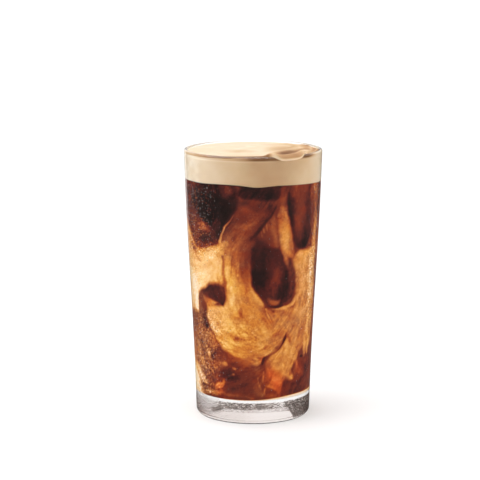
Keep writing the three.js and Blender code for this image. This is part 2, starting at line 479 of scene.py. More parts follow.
def along(nodes, count):
    """A smooth curve through the nodes, by Catmull-Rom, with every column carried along alike."""
    p = np.asarray(nodes, float)
    p = np.vstack([2 * p[0] - p[1], p, 2 * p[-1] - p[-2]])
    t = np.linspace(0, len(nodes) - 1, count * (len(nodes) - 1) + 1)
    i = np.minimum(t.astype(int), len(nodes) - 2)
    f = (t - i)[:, None]
    a, b, c, d = p[i], p[i + 1], p[i + 2], p[i + 3]
    bend = 2 * a - 5 * b + 4 * c - d
    twist = 3 * b - a - 3 * c + d
    return 0.5 * (2 * b + (c - a) * f + bend * f ** 2 + twist * f ** 3)


def nearest(path, u, z):
    """Each point's distance from a path of straight steps, and the path's other columns nearest to it."""
    best = np.full(u.shape, np.inf)
    carried = np.zeros(u.shape + (path.shape[1] - 2,))
    for a, b in zip(path[:-1], path[1:]):
        step = b - a
        t = np.clip(((u - a[0]) * step[0] + (z - a[1]) * step[1]) / max(step[:2] @ step[:2], 1e-9), 0, 1)
        away = np.hypot(u - a[0] - t * step[0], z - a[1] - t * step[1])
        closer = away < best
        best = np.where(closer, away, best)
        carried = np.where(closer[..., None], a[2:] + t[..., None] * step[2:], carried)
    return best, carried


def within(outline, u, z):
    """Whether each point is inside an outline: a line to its right crosses it an odd number of times."""
    inside = np.zeros(u.shape, bool)
    for a, b in zip(outline[:-1], outline[1:]):
        across = a[0] + (z - a[1]) / ((b[1] - a[1]) or 1e-9) * (b[0] - a[0])
        inside ^= ((a[1] > z) != (b[1] > z)) & (u < across)
    return inside


def lay(cream, u, z, soft, nodes):
    """Lays one patch or ribbon over what is there, with a soft edge.

    A patch fills the outline through its nodes with their cream, blended by closeness. A ribbon follows a
    smooth curve through them, as wide and as creamy there as they say.
    """
    patch = len(nodes[0]) == 3
    path = np.array(nodes + nodes[:1], float) if patch else along(nodes, 6)
    path[:, 0] *= MM_PER_DEGREE
    reach = soft if patch else path[:, 2].max() + soft
    near = (u > path[:, 0].min() - reach) & (u < path[:, 0].max() + reach)
    near &= (z > path[:, 1].min() - reach) & (z < path[:, 1].max() + reach)
    away, carried = nearest(path, u[near], z[near])
    if patch:
        away = np.where(within(path, u[near], z[near]), -away, away)
        apart = (u[near][:, None] - path[:-1, 0]) ** 2 + (z[near][:, None] - path[:-1, 1]) ** 2
        closeness = (apart + 2) ** -2.0
        shade = closeness @ path[:-1, 2] / closeness.sum(1)
    else:
        away = away - carried[:, 0]
        shade = carried[:, 1]
    cream[near] += (shade - cream[near]) * (1 - smoothstep(-soft, soft, away))


# Each layer: its soft edge, then its nodes as angle, height, half width (ribbons only) and cream, where 0
# is black coffee. Later layers lie over earlier ones.
COFFEE = 0.27
LAYERS = (
    # upper left: black coffee, browner to the left
    (2.5, [(-82, 142, .24), (-70, 142, .21), (-60, 142, .15), (-48, 142, .10), (-25, 142, .11),
           (-13, 137, .12), (-13, 128, .12), (-16.5, 123, .12), (-22, 118.5, .12), (-28, 113.5, .13),
           (-31, 109, .15), (-36, 106.5, .19), (-44, 105, .21), (-52, 103, .22), (-58, 101.5, .25),
           (-64, 103, .29), (-70, 107, .29), (-74, 112, .20), (-77, 120, .22), (-80, 130, .20)]),
    (3.0, [(-66, 134, 3, .15), (-58, 131, 6, .09), (-48, 128, 8, .05), (-38, 126, 9, .05),
           (-30, 126, 7, .06), (-26, 122, 4, .07)]),
    (3.0, [(-89, 143, 3, .50), (-88, 130, 3.4, .50), (-88, 120, 3, .52)]),
    (2.0, [(-58, 114, 1.2, .27), (-52, 115.5, 2.2, .40), (-47, 115, 2, .38), (-42, 114, 1.4, .26)]),
    (1.5, [(-57, 109, 1.2, .22), (-50, 107.6, 2.2, .13), (-42, 108.6, 1.8, .15)]),
    (1.5, [(-31, 142, .22), (-18, 142, .27), (-18, 136, .26), (-23, 132.5, .21), (-28, 134, .18)]),
    # maroon fold
    (1.8, [(-12, 131, .20), (-6, 132, .23), (5, 131, .22), (15, 130, .20), (19, 128, .22), (8, 119, .25),
           (0, 113, .30), (-8, 108, .37), (-17, 108, .36), (-18, 116, .30), (-15, 124, .27)]),
    (2.0, [(-10, 128, 2, .29), (-6, 125, 3, .30), (1, 121, 3, .29)]),
    (1.5, [(-16, 117, 1, .36), (-8, 117, 1.6, .38), (-1, 118.5, 1.2, .32)]),
    (1.5, [(-28, 111, .31), (-23, 114.5, .29), (-17, 118, .30), (-16, 112, .35), (-20, 107, .42),
           (-26, 104.5, .50), (-31, 106, .44)]),
    # black under the foam
    (1.4, [(-10, 142, .12), (-13, 135, .12), (-8, 132.8, .12), (0, 132.8, .11), (12, 131.8, .11),
           (20, 132, .11), (24, 134, .15), (26, 142, .15)]),
    (.6, [(-40, 140.7, .5, .10), (-20, 140.6, .5, .10), (0, 139.8, .5, .10), (20, 140, .4, .12),
          (30, 140.2, .4, .20)]),
    # streaks right of the fold
    (1.5, [(20, 127, .28), (21.5, 118, .34), (23, 108, .30), (24, 101, .24), (10, 101, .18), (2, 104, .17),
           (0, 109, .20), (5, 114, .27), (12, 120, .29)]),
    (1.0, [(18, 123, .9, .34), (19, 114, 1.3, .37), (21.5, 106, 1.2, .34)]),
    (.5, [(9, 117.5, .4, .44), (9.5, 114, .5, .42)]),
    (.4, [(12, 118.5, .3, .40), (13, 114.5, .3, .38)]),
    (.4, [(7, 114.5, .3, .38), (8, 111, .3, .34)]),
    (.7, [(21, 129, .4, .20), (17, 125.3, .7, .16), (12, 120.2, .8, .15), (7, 115.7, .9, .16),
          (2, 112, .9, .17), (-2, 109.3, .8, .20), (-5, 106, .6, .26)]),
    # right: golden cream
    (1.6, [(40, 99, .55), (46, 101, .63), (55, 101.5, .68), (62, 102, .69), (74, 103, .70), (77, 90, .64),
           (77, 75, .62), (77, 60, .58), (75, 46, .50), (68, 41, .55), (63, 39.5, .52), (59, 44, .57),
           (50, 41, .52), (46, 40, .50), (40, 46, .52), (35, 53, .50), (38, 62, .52), (43, 72, .58),
           (43.5, 80, .58), (43.5, 88, .58), (41, 93, .60), (37, 96, .58)]),
    (2.0, [(43, 96.5, 1.5, .53), (47, 95.5, 1.8, .54), (53, 96.5, 2.5, .65), (60, 94, 2.5, .66)]),
    (1.5, [(66, 100, 1.6, .62), (67, 94, 1.7, .70), (67, 88, 1.8, .75), (66, 76, 1.6, .74),
           (66, 64, 1.5, .68), (66, 52, 1.8, .68)]),
    (2.0, [(48, 92, 1.5, .57), (48, 84, 2, .56), (50, 76, 2, .58)]),
    (1.5, [(46, 66, 1.5, .63), (52, 64.5, 2, .65), (58, 66, 1.5, .62)]),
    (1.5, [(60, 62, 1.2, .54), (57, 58, 1.2, .54), (50, 58, 1.5, .50)]),
    # plume
    (1.1, [(24, 139, .26), (28, 138, .26), (30.5, 131, .33), (32, 123, .47), (35, 113, .54), (38, 104, .52),
           (39, 98, .48), (34, 95.5, .46), (28, 96, .53), (26, 100, .55), (25, 106, .56), (23, 113, .52),
           (21.5, 121, .44), (22.5, 129, .28)]),
    (1.4, [(26, 127, .9, .45), (27, 119, 1.4, .53), (28.5, 111, 1.7, .56), (29.5, 104, 1.6, .57),
           (29, 99, 1.3, .56)]),
    (1.0, [(33, 119, .6, .42), (35, 109, 1.0, .44), (35, 103, 1.4, .45), (38, 101, .8, .42)]),
    # lobe
    (1.0, [(31, 138, .24), (34, 142, .27), (45, 142, .30), (56, 141, .26), (59, 136, .22), (60, 125, .20),
           (60, 115, .17), (59, 108, .15), (54, 103, .13), (48, 102.3, .13), (43, 103.5, .15),
           (40, 107, .20), (38, 112, .24), (36, 118, .24), (33, 128, .18)]),
    (3.0, [(44, 137, 3, .30), (45, 128, 3.5, .29), (46, 119, 3.5, .27), (44.5, 111, 2.4, .24)]),
    (1.2, [(31, 135, .8, .15), (32.5, 129, 1.2, .12), (35, 121, 1.4, .12), (37.5, 114, 1.2, .15),
           (40, 108, 1, .19)]),
    (1.5, [(41, 106, 1, .19), (45, 104.5, 1.8, .12), (51, 104.5, 2.2, .11), (56, 108, 2.2, .13),
           (59, 114, 1.6, .16), (60, 122, 1, .20)]),
    (1.2, [(57, 140, .8, .18), (57, 131, 1, .20), (58, 122, .8, .22)]),
    # right strip
    (1.4, [(65, 142, 2.2, .42), (69, 131, 1.6, .38), (71, 121, 1.8, .40), (71, 113, 2.2, .50),
           (69, 105, 3, .62)]),
    (1.0, [(77, 142, 1.2, .11), (78, 130, 1.2, .12), (77, 120, 1.0, .20), (76, 110, 1.0, .30),
           (76, 100, 1.2, .38), (76, 92, 1.2, .30), (76.5, 84, 1.0, .32), (75, 78, .6, .5)]),
    (2.0, [(88, 142, 4, .40), (90, 110, 5, .50), (90, 80, 5, .52), (88, 50, 5, .42), (88, 18, 5, .34)]),
    # left: pale cream
    (1.5, [(-96, 122, .52), (-84, 119, .56), (-78, 113, .60), (-72, 109, .66), (-66, 104.5, .74),
           (-60, 101, .81), (-52, 101.5, .83), (-44, 103, .81), (-36, 104.5, .78), (-31, 106.8, .68),
           (-27, 107.5, .62), (-25, 104, .66), (-27, 99, .72), (-28.5, 95, .75), (-29, 88, .75),
           (-28.5, 84, .66), (-30, 83, .60), (-38, 83.5, .74), (-46, 82.6, .82), (-50, 80, .86),
           (-56, 78, .88), (-60, 76, .88), (-62, 70, .90), (-63, 64.4, .88), (-70, 60.5, .74),
           (-78, 63, .80), (-96, 66, .66)]),
    (1.0, [(-76, 105.5, 1.5, .50), (-70, 103.5, 1.8, .44), (-64, 100.6, 2.4, .38), (-58, 100.2, 1.8, .45),
           (-50, 101, 1.0, .66), (-43, 102.5, 1.0, .68), (-37, 104, .6, .72)]),
    (2.0, [(-58, 100, 1, .80), (-48, 98, 2, .84), (-38, 96, 2.4, .81), (-33, 91, 2, .79)]),
    (2.0, [(-60, 88, 2, .87), (-50, 88, 2.4, .84), (-40, 88, 2.4, .80)]),
    (2.5, [(-80, 84, 4, .86), (-72, 82, 4, .92), (-67, 74, 3.4, .97), (-67, 67.5, 2.6, .99)]),
    (.8, [(-62, 97, .4, .68), (-58, 95, .6, .64), (-54, 93.5, .3, .68)]),
    (.7, [(-60, 99.5, .4, .68), (-55, 98.2, .3, .68)]),
    (1.0, [(-78, 90, .8, .68), (-71, 90.5, 1.0, .66), (-65, 89.5, .6, .70)]),
    (1.0, [(-75, 99.5, .8, .66), (-67, 99, .7, .66), (-61, 98, .4, .70)]),
    (1.0, [(-84, 106, 1, .56), (-76, 104, 1, .58), (-70, 101, .6, .62)]),
    # lower left
    (2.0, [(-96, 66, .36), (-66, 64, .38), (-60, 56, .42), (-54, 52, .42), (-46, 54, .46), (-41, 47, .46),
           (-46, 42, .37), (-50, 34, .38), (-48, 28, .33), (-52, 18, .33), (-66, 12, .40), (-96, 12, .42),
           (-96, 40, .46)]),
    (2.0, [(-78, 60, 2.5, .36), (-73, 54, 3, .37), (-72, 47, 2.5, .44), (-68, 42, 3, .50),
           (-66, 34, 2.5, .46)]),
    (1.0, [(-62, 76, .36), (-57, 74.8, .30), (-52, 73.5, .29), (-50.5, 70, .26), (-50, 64, .26),
           (-48, 57, .24), (-46, 51, .30), (-54, 52, .36), (-64, 56, .37), (-64, 64, .38)]),
    (2.5, [(-42, 35, .26), (-30, 34, .21), (-18, 32, .20), (-8, 31, .23), (-4, 24, .24), (-12, 18, .25),
           (-28, 18, .24), (-42, 24, .25)]),
    (2.0, [(-33, 29.5, 1.6, .18), (-27, 27.5, 2.0, .18), (-21, 26.2, 1.8, .20)]),
    (2.5, [(-54, 40, .40), (-46, 37, .39), (-38, 37, .37), (-30, 39, .36), (-24, 38, .32), (-26, 35, .30),
           (-34, 32, .32), (-42, 27, .33), (-48, 24, .36), (-54, 28, .38)]),
    (1.2, [(-46, 41, .30), (-41, 42.6, .25), (-36, 42.2, .26), (-31, 40.6, .28), (-33, 39, .29),
           (-38, 38, .28), (-44, 38.5, .31)]),
    (.5, [(-47, 37.5, .5, .47), (-45, 36.8, .5, .47)]),
    (.5, [(-36, 36.4, .4, .46), (-34, 36, .4, .46)]),
    (.5, [(-50, 35, .6, .49), (-48, 34, .5, .47)]),
    (.5, [(-52, 30, .5, .47), (-50, 28.6, .5, .45)]),
    (.5, [(-45, 27.4, .5, .43), (-43, 26.8, .4, .43)]),
    (2.0, [(-24, 40, 1.5, .33), (-14, 38, 2, .35), (-4, 37.5, 2, .40), (2, 36, 1.5, .34)]),
    (2.0, [(-12, 30, 2, .27), (-4, 32, 2.5, .29), (3, 33, 2.5, .32), (6, 27, 3, .31), (3, 20, 3, .30)]),
    (.9, [(-49, 56, .46), (-43.5, 53, .52), (-38.5, 48.5, .54), (-37, 45.5, .50), (-43, 43.5, .48),
          (-50, 46, .51), (-54, 51, .47)]),
    (.8, [(-56, 48, .8, .50), (-53, 44, 1.0, .56), (-49.5, 42, 1.3, .62), (-48, 38.6, .9, .52)]),
    (3.0, [(-92, 64, 3, .34), (-91, 50, 3, .36), (-90, 38, 3, .60), (-85, 30, 4, .92), (-79, 22, 5.5, .95),
           (-76, 15, 6, .92)]),
    (.6, [(-31, 35.6, 1.0, .48), (-28.5, 35.3, 1.2, .54), (-27, 34.8, .8, .46)]),
    (.5, [(-20, 33.4, .7, .48), (-18, 33, .7, .46)]),
    (.5, [(-21, 29.5, .5, .42), (-19.5, 29.3, .5, .42)]),
    (.6, [(-43, 33.2, .7, .48), (-40.5, 32.6, .7, .46), (-38.5, 33, .5, .42)]),
    (.5, [(-47, 31, .6, .44), (-45, 30.4, .6, .44)]),
    (.5, [(-39.5, 38.7, .5, .40), (-37.5, 38.3, .5, .40)]),
    (.8, [(-41.5, 20.6, 1.1, .48), (-38, 22, 1.8, .58), (-34, 22.6, 1.5, .50), (-32, 24.6, .9, .42)]),
    (1.4, [(-76, 31, 2.0, .74), (-69, 27.5, 2.2, .78), (-62, 24, 2.4, .80), (-56, 22.5, 1.3, .64)]),
    (1.5, [(-66, 37, 1.5, .52), (-60, 34, 2.0, .54), (-56, 31, 1.4, .48)]),
    (1.2, [(-62, 20, 1.6, .30), (-54, 19, 1.6, .30), (-50, 22, 1.2, .30)]),
    (1.0, [(-56, 16.5, 1.2, .54), (-48, 17.3, 1.4, .52), (-41, 17.2, 1.3, .50), (-35, 18, 1.0, .40),
           (-24, 17, .8, .36), (-10, 17, .8, .34), (0, 16, .6, .32)]),
    (1.4, [(2, 24, 1.2, .33), (6, 19, 1.6, .34), (12, 17, 1.4, .36), (20, 16.5, 1.2, .38),
           (27, 16.5, 1.0, .38)]),
    (.5, [(4, 28, .5, .40), (5, 24.5, .5, .42), (8, 21, .4, .40)]),
    (.5, [(12, 21, .4, .44), (11, 18.5, .5, .46), (9, 16.5, .4, .42)]),
    # orange column
    (1.5, [(-27, 104, .52), (-22, 107, .42), (-12, 109, .37), (-3, 107, .30), (-1, 100, .27),
           (-1.5, 92, .34), (-1, 84, .48), (2, 80, .56), (6, 75, .60), (10, 70.5, .58), (10, 64, .56),
           (-10, 62, .58), (-28, 66, .68), (-30, 69.5, .70), (-27, 73, .70), (-26.5, 80, .70),
           (-26, 88, .68), (-27, 96, .64)]),
    (1.2, [(-24, 96, 1.1, .62), (-24.5, 90, 1.4, .71), (-23.5, 85, 1.5, .72), (-22, 79, 1.5, .71),
           (-22, 73, 1.6, .70)]),
    (1.0, [(-17, 85, .9, .60), (-16, 80, 1.2, .61), (-15.5, 76, 1.1, .62), (-16, 72, 1, .64)]),
    (1.0, [(-19, 101, 1.6, .44), (-17.5, 97, 1.5, .46), (-17, 92, 1.0, .54)]),
    (.8, [(-13, 101, 1.6, .36), (-11, 95, 1.6, .33), (-10, 90, 1.4, .35), (-9.5, 85, .9, .44)]),
    (1.2, [(-15, 93, 1.2, .44), (-13.5, 88, 1.8, .40), (-12.5, 84.6, 1.4, .47)]),
    (.7, [(-7, 98, 1.2, .26), (-6.5, 92, 1.2, .31), (-6, 87, .9, .38), (-5.5, 83, .5, .48)]),
    (.5, [(-15.5, 99, .4, .38), (-15, 94, .5, .42), (-14, 89, .4, .52)]),
    (.5, [(-20.5, 98, .3, .46), (-20, 93, .4, .54)]),
    (.5, [(-4, 93, .3, .30), (-3.5, 88, .4, .40)]),
    (.6, [(-9, 81, .4, .50), (-7.5, 78, .6, .45), (-5.5, 74.8, .7, .46), (-4, 71, .4, .53)]),
    (.8, [(-3, 83, .7, .56), (0, 79, 1, .62), (4, 75, 1.1, .63), (8, 71.5, .8, .60)]),
    (.6, [(-28.6, 99, .8, .40), (-28, 94, .5, .42), (-27.6, 88, .4, .44), (-27, 84, .9, .34),
          (-26.6, 81.5, .6, .40)]),
    # bowl
    (1.1, [(-49.5, 68, .68), (-50, 62, .77), (-45.5, 57, .75), (-41, 54, .68), (-38, 47.8, .62),
           (-33, 43.8, .62), (-28, 42.4, .62), (-20, 41.2, .62), (-12, 40.2, .60), (-2, 39.8, .58),
           (6, 39.4, .56), (12, 39.6, .55), (19, 42.5, .54), (25, 45, .52), (30, 48.5, .48), (34, 53, .50),
           (40, 60, .52), (42, 68, .54), (30, 70, .56), (15, 68, .56), (5, 70, .58), (-8, 70, .60),
           (-20, 71, .68), (-30, 69.5, .72), (-40, 69, .70)]),
    (2.0, [(-40, 62, 1.5, .76), (-38, 59, 1.5, .75)]),
    (2.0, [(-45, 64, 1.5, .67), (-44, 60, 2, .75), (-41, 56, 1.6, .74)]),
    (2.0, [(-34, 64, 2, .66), (-32, 58, 2.5, .64), (-26, 57, 2.2, .61)]),
    (2.0, [(-20, 64, 2, .63), (-14, 58, 3, .60), (-4, 53, 3, .63), (6, 50, 2.5, .58)]),
    (1.5, [(8, 58, 1.5, .60), (12, 54, 2, .60), (20, 52, 2, .54)]),
    (1.4, [(-4, 52, 1.5, .66), (0, 51, 1.8, .68), (3, 50.5, 1, .64)]),
    (1.2, [(-18, 63.4, .9, .53), (-14.5, 61.8, 1.3, .51), (-11, 60, .8, .53)]),
    (.8, [(-38, 50, .7, .72), (-32, 47.7, .9, .77), (-25, 46.3, 1.1, .78), (-18, 44.9, 1, .72),
          (-8, 43.4, .8, .64)]),
    (.6, [(-31, 50.5, .5, .76), (-23, 48.6, .6, .77), (-13, 47.2, .6, .69)]),
    (.6, [(-37, 54, .5, .76), (-31, 55.5, .6, .76), (-25, 57, .5, .74)]),
    (.7, [(-12.6, 69.5, .7, .52), (-12, 66.3, 1.2, .45), (-12, 63, .8, .50), (-11, 60.5, .4, .56)]),
    (.7, [(-19, 50.4, .8, .54), (-15.5, 51.3, 1.2, .48), (-12, 51, .7, .54)]),
    (.5, [(-29, 54.5, .7, .58), (-26.5, 54, .5, .60)]),
    (.6, [(-8, 48, .5, .52), (0, 46.5, .5, .52), (7, 46.5, .4, .52)]),
    (.5, [(-25, 44, .4, .56), (-16, 43, .4, .54), (-7, 42, .4, .52)]),
    (.9, [(-20, 42, 1, .56), (-12, 40.6, 1.1, .50), (-4, 39.8, 1.1, .50), (2, 39.6, 1, .50)]),
    (1.0, [(-1, 38, 1.0, .50), (4, 37, 1.4, .53), (8, 38, 1.3, .50), (10.5, 39.8, .8, .50)]),
    (.8, [(2, 39.5, .8, .60), (5, 38.2, 1.0, .60), (7.5, 37.6, .5, .48)]),
    (.7, [(-47.8, 57.5, .7, .26), (-43.4, 53, .6, .38), (-39.3, 49, .6, .34), (-37, 46.5, .5, .34)]),
    # small dark block and the red tip under it
    (.6, [(-60, 75.5, .34), (-58, 76.6, .27), (-54, 77.6, .22), (-50, 78.8, .20), (-47, 80.8, .19),
          (-43.5, 82, .19), (-34, 81.4, .19), (-28.5, 81.6, .21), (-27.5, 79, .19), (-27.5, 75, .17),
          (-28.5, 72, .16), (-30.5, 69.2, .16), (-33, 70.5, .17), (-38, 72, .18), (-45, 73.5, .20),
          (-52, 74.8, .24), (-56, 75.2, .28)]),
    (.7, [(-56, 75, .40), (-51, 73.5, .46), (-44, 72.6, .50), (-37, 71.2, .58), (-41, 68.8, .60),
          (-48, 68, .54), (-53, 71, .42)]),
    (.5, [(-35, 85.5, .4, .60), (-32, 83.6, .6, .46), (-29.5, 82.2, .5, .34)]),
    (.4, [(-32, 86, .3, .62), (-30, 84, .4, .48)]),
    (.8, [(-33, 88, .8, .74), (-31.5, 85.6, 1.1, .74), (-30.6, 83.6, .5, .64)]),
    # centre black
    (1.2, [(-1.5, 104, .16), (-2.5, 96, .12), (-2.5, 88, .11), (-1.5, 82.5, .13), (2, 79, .15),
           (6, 75.5, .17), (9.5, 72, .22), (12, 70, .27), (18, 69.3, .24), (26, 69.8, .18), (32, 71, .18),
           (38, 73.5, .20), (41.5, 78, .22), (42.5, 84, .22), (42, 89, .23), (39, 93, .24), (36, 97, .22),
           (30, 99.5, .19), (27, 102, .19), (20, 104, .17), (8, 106, .16)]),
    (1.5, [(6, 103, 2.6, .15), (6, 96, 3.4, .11), (5.5, 89, 3.8, .10), (6.5, 83, 3, .11),
           (9, 79.5, 1.6, .14)]),
    (2.0, [(32, 92, 1.5, .18), (31, 87, 2.5, .14), (30, 82, 3.6, .12), (28, 77, 3.4, .12),
           (27, 73, 1.8, .14)]),
    (1.8, [(20, 94, 1.0, .22), (21.5, 90, 2.0, .28), (20, 86, 1.6, .27), (15, 81, 1.4, .21)]),
    (1.5, [(12, 78, 1.2, .19), (13, 74, 1.2, .22)]),
    (.9, [(14, 74.5, .8, .30), (18, 72.4, 1.3, .40), (23, 72.2, 1.3, .42), (26, 73.4, .6, .30)]),
    (.4, [(14, 70.3, .5, .20), (20, 69.6, .7, .16), (26, 70, .6, .15), (31, 71.2, .5, .19),
          (37, 73.5, .4, .28)]),
    (.6, [(24, 68.2, .8, .60), (30, 68.6, .8, .62), (36, 69.6, 1.0, .64), (40, 71.4, 1.2, .64),
          (43, 74.5, 1.0, .60)]),
    (.6, [(30, 71.6, .6, .24), (34, 71.9, .7, .24), (36.5, 73, .4, .26)]),
    (.5, [(17, 68, .5, .34), (20, 67, .9, .30), (23, 67.3, .4, .45)]),
    (1.3, [(25, 64.5, 1, .48), (30, 64.5, 1.6, .42), (35, 64.5, 1.6, .42), (39, 65.5, 1, .49)]),
    (1.2, [(6.5, 69, 1.0, .50), (9, 66, 1.8, .42), (11.5, 62.5, 1.4, .46), (14, 59.5, .7, .52)]),
    (.5, [(9, 69.5, .6, .44), (11, 66.8, .8, .38), (13.5, 63.8, .8, .40), (16, 61, .6, .45),
          (18, 59, .3, .53)]),
    (.4, [(13, 68, .4, .46), (15, 65.5, .5, .43), (17.5, 62.5, .4, .48)]),
    (.4, [(11.7, 68.5, .4, .60), (14, 65, .5, .61), (16.5, 62, .4, .60)]),
    # lower right
    (1.2, [(34.5, 51.5, .56), (37, 48.5, .60), (40, 46, .60), (48, 43, .60), (51, 39.5, .58),
           (49.5, 36.5, .55), (45, 34, .56), (42, 31, .58), (44.5, 28, .56), (45.5, 25.5, .50),
           (42, 25, .50), (36, 26, .48), (33.5, 25.3, .44), (30, 22.5, .46), (27.5, 18.5, .42),
           (25, 18.5, .42), (20, 21, .42), (15, 21.5, .38), (12, 24, .33), (12, 28, .33), (13, 33, .36),
           (14.5, 37.5, .44), (17, 39.8, .50), (22, 42.5, .52), (28, 45.5, .55), (32, 49, .55)]),
    (1.5, [(35, 49, .8, .64), (35.5, 45, 1.6, .68), (36.5, 39, 2.0, .65), (37, 34, 1.6, .60)]),
    (1.5, [(24, 40, 1.5, .60), (20, 37, 1.8, .56), (24, 33, 1.6, .53), (31, 34, 1.5, .63)]),
    (1.0, [(33, 30, 1.2, .62), (37, 28.8, 1.6, .68), (42, 27, 1.0, .66)]),
    (1.2, [(41, 41, 1.2, .62), (44, 38.6, 1.8, .67), (47, 36.6, 1.0, .61)]),
    (1.2, [(15.5, 33, .8, .44), (17, 29, 1.0, .41), (20.5, 28, 1.6, .48), (25, 25.5, 1.8, .55),
           (28.5, 23.5, 1.2, .52)]),
    (.8, [(13, 23, .8, .40), (18, 22, .8, .47), (24, 20.5, .9, .47)]),
    (.5, [(11, 31, .4, .46), (10, 28, .4, .46), (9.5, 25.5, .3, .40)]),
    (.4, [(33.5, 53, .4, .30), (32, 50, .9, .14), (29.5, 47, .6, .22), (25.5, 44, .5, .30),
          (20, 41.8, .5, .32), (14, 40.2, .6, .24), (11, 38.8, 1.0, .15), (10, 36.5, .9, .20)]),
    (1.0, [(50.5, 36.5, .27), (54.5, 42, .33), (57, 41, .27), (60, 39, .26), (66, 36, .28), (72, 34, .26),
           (74, 26, .24), (64, 15, .22), (50, 15, .22), (40, 15, .22), (31, 15, .24), (31.5, 22, .23),
           (34, 25, .24), (42, 24.6, .24), (46.5, 25.3, .26), (46, 28.5, .29), (43.5, 31, .30),
           (46.5, 33.5, .30)]),
    (1.0, [(49, 36, .7, .39), (50, 33, 1.2, .40), (53, 30, 1.1, .37), (55, 28, .7, .31)]),
    (1.2, [(60, 33, 1.5, .21), (65, 29, 2, .20), (56, 23, 1.6, .19), (44, 22, 1.2, .19)]),
    (1.2, [(51, 30.5, 1.2, .32), (56, 28.5, 1.5, .31), (61, 26.5, 1.1, .27)]),
    (.5, [(56, 37.8, .8, .15), (58.5, 37.8, .7, .15)]),
    (1.2, [(49, 50, 1.0, .60), (52, 48.5, 1.5, .63), (54, 46.5, .8, .58)]),
    (.8, [(61, 49, 1.4, .66), (61.5, 45, 1.6, .65), (62, 41, 1.6, .60), (62.5, 38, 1.0, .44)]),
    (1.0, [(67, 55, 1.2, .68), (68, 46, 1.2, .66), (68, 39, .8, .54)]),
    (1.5, [(75, 36, 1.5, .24), (76, 32, 1.5, .24)]),
    (.5, [(30, 22.5, .4, .44), (28.2, 20, .5, .46), (26.5, 18, .5, .42)]),
    # filament over the black
    (.5, [(-17, 123, .2, .30), (-21, 119.5, .3, .44), (-25, 116.5, .4, .50), (-28, 113.5, .5, .52),
          (-30, 110.5, .7, .55), (-31.5, 108, 1.1, .63)]),
    (1.0, [(28, 101, 1.2, .50), (30, 98, 1.3, .46), (32, 95, 1.2, .38), (33.5, 92, .9, .32)]),
    (1.0, [(22, 66.6, .7, .44), (27, 66.4, 1.0, .42), (31, 66.8, .6, .46)]),
    (1.2, [(24, 61.5, .8, .50), (28, 61, 1.3, .46), (32, 61.4, .8, .49)]),
    (.8, [(-26.5, 107.6, .8, .54), (-24, 106.6, 1.2, .58), (-22, 105.6, .6, .52)]),
)

# How the fine streaks run: angle, height, and their slope as an angle from level, rising to the right
STREAKS = (
    (-60, 92, 10), (-75, 80, 60), (-15, 95, 85), (-20, 80, 95), (0, 76, -50), (-45, 58, -60),
    (-30, 48, -25), (-5, 43, -5), (20, 47, 30), (30, 60, 50), (-10, 60, -40), (10, 60, -50), (55, 85, 85),
    (55, 55, 75), (28, 112, 100), (0, 122, 45), (-10, 112, 50), (46, 122, 95), (35, 40, 70), (20, 28, 60),
    (-50, 45, -60), (-20, 30, 20), (-40, 125, 80), (10, 90, 80),
)


def streak_way(u, h):
    """Which way streaks run, as a unit step across and up: the nodes' ways, blended by closeness."""
    way = np.zeros(u.shape + (2,))
    for centre, height, slope in STREAKS:
        closeness = ((u - centre * MM_PER_DEGREE) ** 2 + (h - height) ** 2 + 4) ** -1.5
        turn = np.radians(2 * slope)
        way += closeness[..., None] * np.array([math.cos(turn), math.sin(turn)])
    turn = np.arctan2(way[..., 1], way[..., 0]) / 2
    return np.stack([np.cos(turn), np.sin(turn)], -1)


DRAWN_STEPS = 15
DRAWN_EVENNESS = 0.8  # brings the sum of the steps back to about -1 to 1


def drawn_out(angle, z, flow, size, length, seed):
    """Noise of a given size smeared along the flow: its sum over short steps both ways, made even again."""
    total = 0
    for step in np.linspace(-0.5, 0.5, DRAWN_STEPS) * length:
        aside = angle + step * flow[..., 0] / MM_PER_DEGREE
        total = total + cloud(round_axis(PAINT_RADIUS, z + step * flow[..., 1], aside), size, seed)
    return total / np.sqrt(DRAWN_STEPS) * DRAWN_EVENNESS


def misted(angle, z):
    """How thickly the glass is beaded: most at the left, above and below the pale cream."""
    upper_left = hump(angle, -60, 24) * smoothstep(92, 106, z)
    lower_left = hump(angle, -57, 20) * (1 - smoothstep(56, 72, z))
    left_edge = 0.25 * hump(angle, -75, 18)
    right = 0.8 * hump(angle, 70, 12) * smoothstep(40, 75, z)
    behind = 0.3 * smoothstep(95, 130, np.abs(angle))
    everywhere = np.full(np.shape(z), 0.03)
    return np.maximum.reduce([upper_left, lower_left, left_edge, right, behind, everywhere])


# Where cream shows through clear coffee (more) or is stirred in (less): angle, height, spread and amount
COFFEE_CLEAR = 0.5
CLEARINGS = (
    (-5, 55, 18, 0.4), (-20, 46, 12, 0.3), (22, 24, 7, 0.9), (-48, 71, 4, 0.5), (56, 28, 7, 0.4),
    (-84, 128, 14, -0.1), (-16, 84, 12, 0.4), (-40, 60, 7, -0.35), (-35, 24, 6, 0.4), (-26, 112, 6, -0.5),
    (-55, 102, 5, 0.6), (-66, 18, 8, -0.8), (-60, 90, 16, -0.4), (-70, 66, 11, -0.7), (-62, 45, 14, -0.4),
    (58, 85, 12, -0.4), (56, 60, 10, -0.3), (30, 112, 7, 0.1),
)

# Where a painted red glow of light through the coffee lies: angle, height, spread and amount
GLOWS = (
    (25, 24.5, 5, 0.9), (16, 30, 4, 0.7), (-37, 21, 4, 0.8), (54, 32, 4, 0.5), (30, 18, 5, 0.5),
    (10, 39, 2, 0.6),
)
# Where the cream is marbled: its middle across and up, and its spread both ways
MARBLED_MIDDLE = (-7.0, 54.0)
MARBLED_SPREAD = (19.0, 14.0)
# How far and in what size of lumps the layers' edges are warped, and the seeds
WARPS = ((0.6, 9, 1), (0.35, 3, 2))


